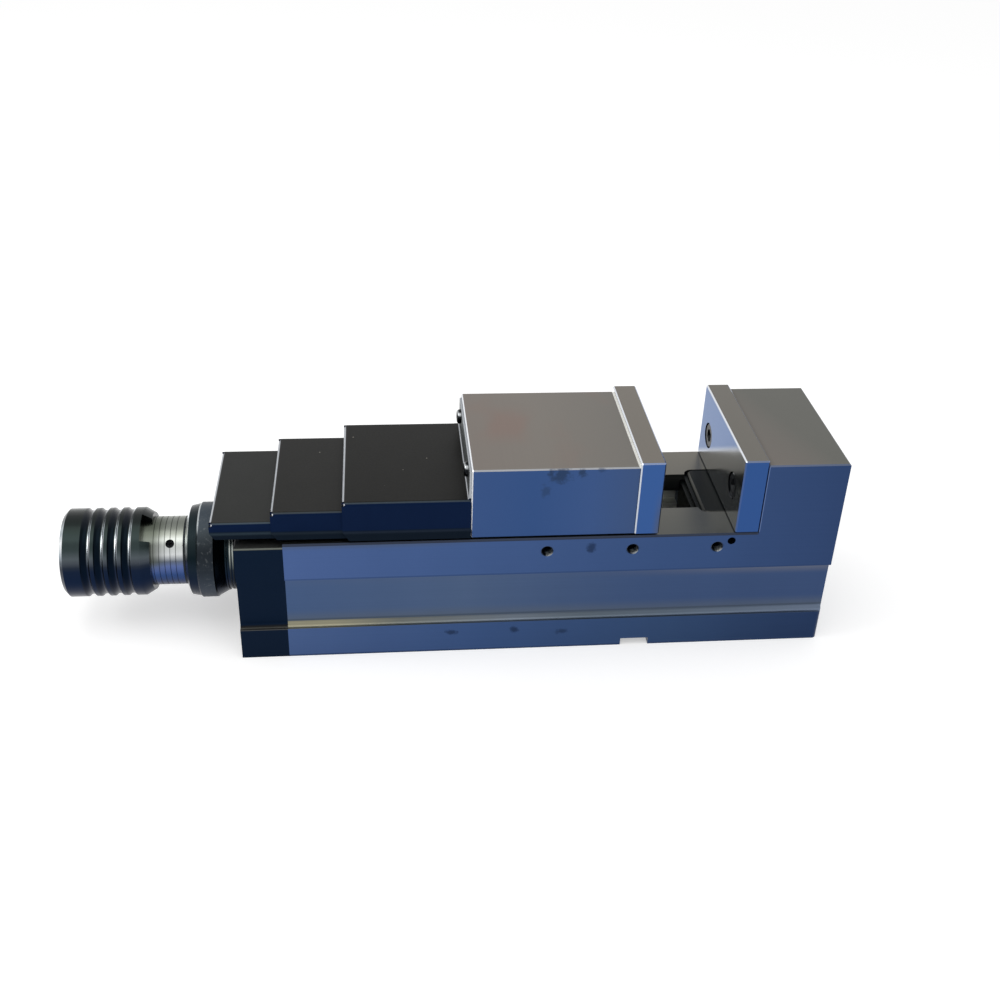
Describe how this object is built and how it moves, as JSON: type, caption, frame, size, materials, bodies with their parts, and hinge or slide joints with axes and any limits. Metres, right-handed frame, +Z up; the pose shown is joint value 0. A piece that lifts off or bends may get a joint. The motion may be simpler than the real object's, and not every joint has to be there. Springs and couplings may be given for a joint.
{
  "type": "hydraulic machine vise",
  "caption": "Machine vise with a hydraulic booster spindle, folded telescopic covers, a pull-down movable jaw and a fixed jaw that is one piece with its ground steel bed.",
  "frame": {"origin": "middle of the cross keyway on the bed's underside, in the middle of the vise's width", "axes": "+X along the vise from the handle towards the fixed jaw, +Y across the vise away from the side the picture shows, +Z up"},
  "size_m": [0.4778, 0.1006, 0.1357],
  "materials": {
    "ground_steel": "ground",
    "hardened_plate": "fine ground",
    "black_steel": "blackened, satin",
    "cover_sheet": "blackened sheet, satin",
    "sleeve_black": "blackened, semi-gloss",
    "bright_steel": "turned bright",
    "bearing_steel": "polished",
    "screw_black": "black oxide",
    "spring_steel": "tempered",
    "seal_rubber": "matte",
    "cage_brass": "turned"
  },
  "bodies": {
    "vise_bed": {"base": "ground_steel", "fixed_jaw_plate": "hardened_plate", "fixed_plate_screws": "screw_black", "spindle_support_block": "black_steel", "front_bush": "cage_brass", "side_set_screws": "screw_black", "rear_bracket": "black_steel", "bracket_screws": "screw_black", "bracket_dowels": "bright_steel", "bearing_cap": "black_steel", "cap_rings": "bright_steel", "thrust_washer": "bearing_steel", "fixed_race": "bearing_steel", "small_cover": "cover_sheet", "cover_stay": "cover_sheet", "stay_screws": "screw_black"},
    "jaw": {"movable_jaw": "ground_steel", "movable_jaw_plate": "hardened_plate", "movable_plate_screws": "screw_black", "spindle_nut": "bright_steel", "pull_down_segment": "bearing_steel", "adjusting_screw": "screw_black", "keeper_plates": "bright_steel", "keeper_screws": "screw_black", "large_cover": "cover_sheet", "large_cover_screws": "screw_black"},
    "mid_cover": {"middle_cover": "cover_sheet"},
    "spindle": {"lead_screw": "bright_steel", "booster_cylinder": "bright_steel", "thrust_collar": "sleeve_black", "collar_set_screw": "screw_black", "spacer_ring": "bright_steel", "turning_race": "bearing_steel", "ball_cage": "cage_brass", "bearing_balls": "bearing_steel", "filler_plug": "screw_black", "disc_springs": "spring_steel", "drive_retaining_ring": "spring_steel"},
    "piston": {"pressure_piston": "bright_steel", "piston_seal": "seal_rubber", "push_rod": "bearing_steel"},
    "plunger": {"primary_plunger": "bright_steel", "plunger_seal": "seal_rubber"},
    "drive": {"drive_shaft": "bright_steel", "clutch_balls": "bearing_steel"},
    "sleeve": {"handle_sleeve": "sleeve_black", "sleeve_wiper": "seal_rubber"}
  },
  "joints": [
    {"name": "spindle_turn", "type": "hinge", "parent": "vise_bed", "child": "spindle", "pos_m": [0, 0, 0.0485], "axis": [1, 0, 0], "range_deg": [-5544, 3441.6]},
    {"name": "jaw_slide", "type": "slide", "parent": "vise_bed", "child": "jaw", "axis": [1, 0, 0], "range_m": [-0.0771, 0.0479]},
    {"name": "mid_cover_slide", "type": "slide", "parent": "vise_bed", "child": "mid_cover", "axis": [1, 0, 0], "range_m": [-0.0364, 0.0226]},
    {"name": "boost_turn", "type": "hinge", "parent": "spindle", "child": "drive", "pos_m": [0, 0, 0.0485], "axis": [1, 0, 0], "range_deg": [0, 1440]},
    {"name": "sleeve_advance", "type": "slide", "parent": "drive", "child": "sleeve", "axis": [1, 0, 0], "range_m": [0, 0.0141]},
    {"name": "plunger_advance", "type": "slide", "parent": "spindle", "child": "plunger", "axis": [1, 0, 0], "range_m": [0, 0.0141]},
    {"name": "piston_advance", "type": "slide", "parent": "spindle", "child": "piston", "axis": [1, 0, 0], "range_m": [0, 0.00125]}
  ],
  "couplings": [
    {"joint": "jaw_slide", "follows": "spindle_turn", "m_per_rad": 0.00079577},
    {"joint": "mid_cover_slide", "follows": "spindle_turn", "m_per_rad": 0.00037481},
    {"joint": "sleeve_advance", "follows": "boost_turn", "m_per_rad": 0.00055704},
    {"joint": "plunger_advance", "follows": "boost_turn", "m_per_rad": 0.00055704},
    {"joint": "piston_advance", "follows": "boost_turn", "m_per_rad": 0.000047747}
  ]
}
